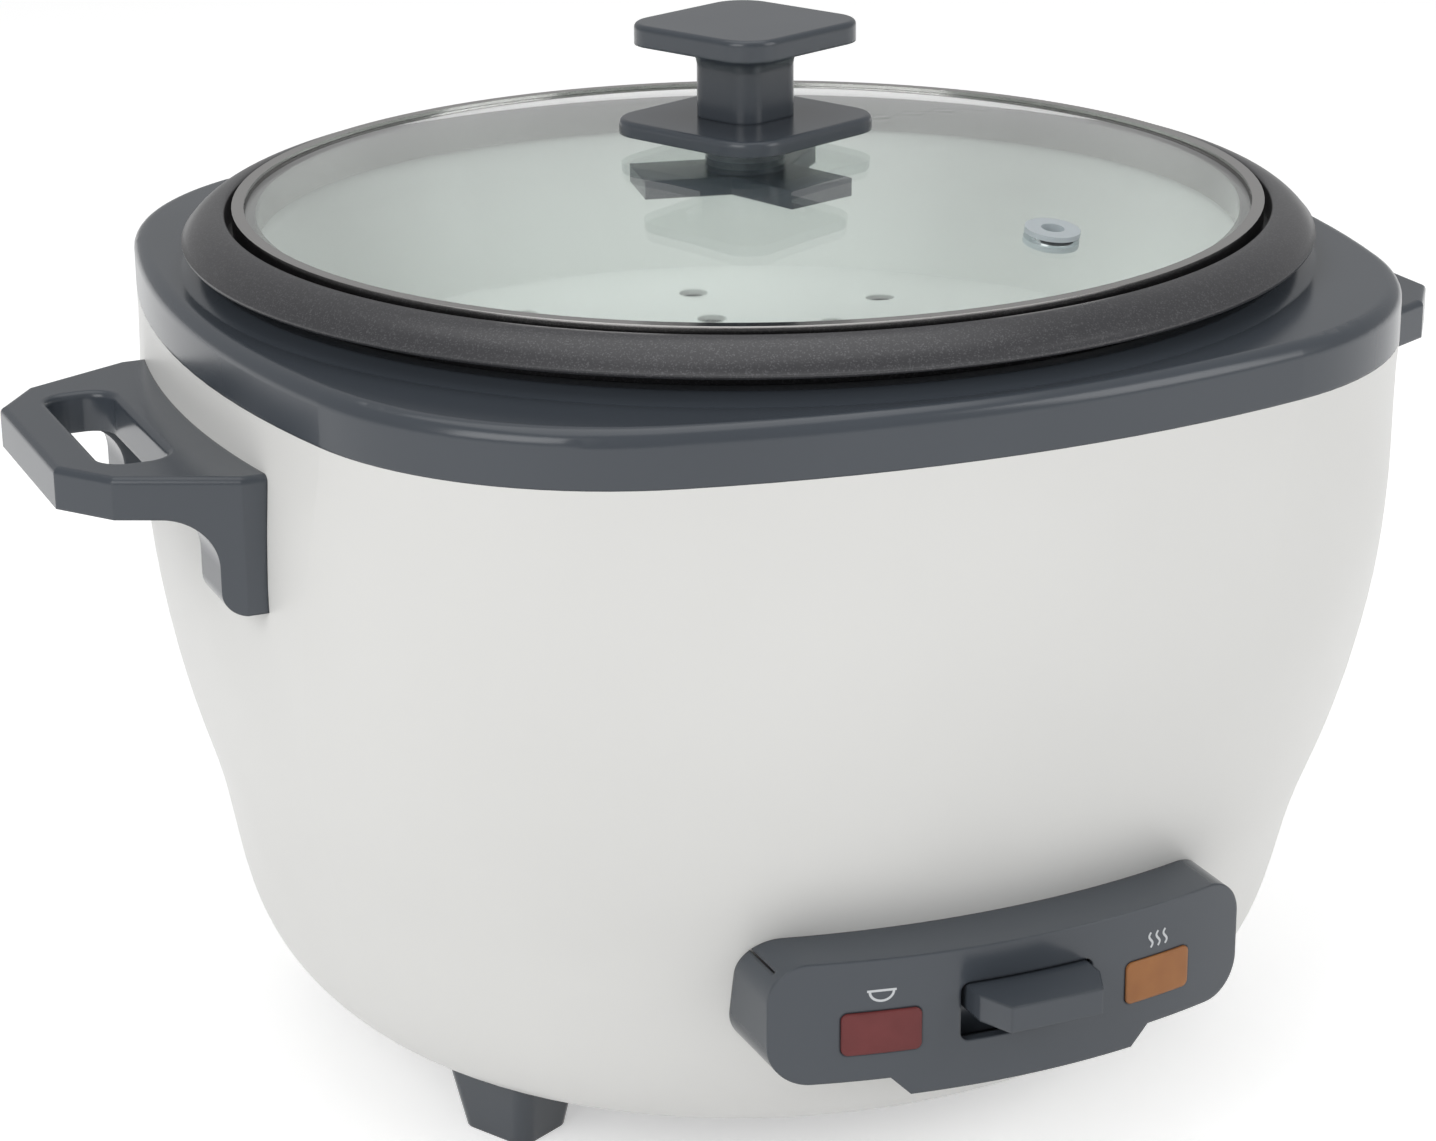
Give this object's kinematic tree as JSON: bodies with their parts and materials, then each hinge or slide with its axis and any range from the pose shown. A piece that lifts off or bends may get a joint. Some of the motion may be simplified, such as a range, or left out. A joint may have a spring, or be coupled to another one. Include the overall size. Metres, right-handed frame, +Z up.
{
  "type": "rice cooker",
  "caption": "Electric rice cooker with a rounded-square body, side handles, lift-out pot, steamer basket, domed glass lid with a knob, and a front switch lever.",
  "frame": {"origin": "on the standing surface, under the centre of the pot", "axes": "+Z up, -Y out of the switch panel, -X to the left handle and +X to the right handle"},
  "size_m": [0.3526, 0.3014, 0.2498],
  "materials": {
    "white_shell": "satin",
    "slate_plastic": "gloss",
    "pot_coating": "speckled non-stick coating",
    "basket_plastic": "satin",
    "clear_glass": "clear",
    "polished_steel": "polished",
    "pale_silicone": "translucent",
    "red_lens": "translucent",
    "amber_lens": "translucent",
    "zinc_steel": "zinc plated",
    "bare_aluminium": "brushed",
    "dark_ferrite": "matte",
    "black_plastic": "matte",
    "button_plastic": "matte",
    "contact_brass": "bright",
    "mica_band": "matte",
    "fuse_sleeve": "matte",
    "lead_sleeve": "matte"
  },
  "bodies": {
    "base": {"outer_body": "white_shell", "top_collar": "slate_plastic", "base_plate": "black_plastic", "foot_front_left": "slate_plastic", "foot_front_right": "slate_plastic", "foot_rear_left": "slate_plastic", "foot_rear_right": "slate_plastic", "foot_screws": "zinc_steel", "left_handle": "slate_plastic", "right_handle": "slate_plastic", "handle_screws": "zinc_steel", "inner_liner": "zinc_steel", "heating_plate": "bare_aluminium", "plate_spacers": "zinc_steel", "plate_screws": "zinc_steel", "heating_element": "zinc_steel", "keep_warm_heater": "mica_band", "thermal_fuse": "fuse_sleeve", "sensor_housing": "zinc_steel", "sensor_spring": "zinc_steel", "lever_bracket": "zinc_steel", "lever_pivot_pin": "zinc_steel", "microswitch": "black_plastic", "switch_bracket": "zinc_steel", "control_panel": "slate_plastic", "panel_screws": "zinc_steel", "cook_lens": "red_lens", "cook_lamp": "clear_glass", "warm_lens": "amber_lens", "warm_lamp": "clear_glass", "inlet_pins": "contact_brass", "power_inlet": "black_plastic", "lead_inlet_to_switch": "lead_sleeve", "lead_switch_to_element": "lead_sleeve", "lead_inlet_to_fuse": "lead_sleeve", "lead_fuse_to_element": "lead_sleeve"},
    "pot": {"cooking_pot": "pot_coating"},
    "basket": {"steamer_basket": "basket_plastic"},
    "lid": {"lid_glass": "clear_glass", "lid_rim_band": "polished_steel", "vent_grommet": "pale_silicone", "knob_washer": "pale_silicone", "knob_base_plate": "slate_plastic", "lid_knob": "slate_plastic", "knob_nut": "slate_plastic", "knob_stud": "zinc_steel"},
    "lever": {"lever_arm": "zinc_steel", "lever_paddle": "slate_plastic"},
    "magnet": {"magnet_rod": "zinc_steel", "switch_magnet": "dark_ferrite", "release_spring": "zinc_steel"},
    "sensor": {"sensor_cap": "bare_aluminium", "sensor_ferrite": "dark_ferrite"},
    "button": {"microswitch_button": "button_plastic"}
  },
  "joints": [
    {"name": "pot_lift", "type": "slide", "parent": "base", "child": "pot", "axis": [0, 0, 1], "range_m": [0, 0.15]},
    {"name": "basket_lift", "type": "slide", "parent": "pot", "child": "basket", "axis": [0, 0, 1], "range_m": [0, 0.06]},
    {"name": "lid_lift", "type": "slide", "parent": "basket", "child": "lid", "axis": [0, 0, 1], "range_m": [0, 0.1]},
    {"name": "lever_press", "type": "hinge", "parent": "base", "child": "lever", "pos_m": [0, -0.064, 0.043], "axis": [1, 0, 0], "range_deg": [0, 4.5], "stiffness_Nm_per_rad": 0.6, "springref_deg": -8.59},
    {"name": "magnet_rise", "type": "slide", "parent": "base", "child": "magnet", "axis": [0, 0, 1], "range_m": [0, 0.00505], "deforming": ["release_spring"]},
    {"name": "sensor_press", "type": "slide", "parent": "base", "child": "sensor", "axis": [0, 0, 1], "range_m": [-0.0015, 0], "stiffness_N_per_m": 400, "springref_m": 0.004, "deforming": ["sensor_spring"]},
    {"name": "button_press", "type": "slide", "parent": "base", "child": "button", "axis": [0, 0, 1], "range_m": [-0.00128, 0]}
  ],
  "couplings": [
    {"joint": "magnet_rise", "follows": "lever_press", "m_per_rad": 0.064},
    {"joint": "button_press", "follows": "lever_press", "m_per_rad": -0.016}
  ]
}
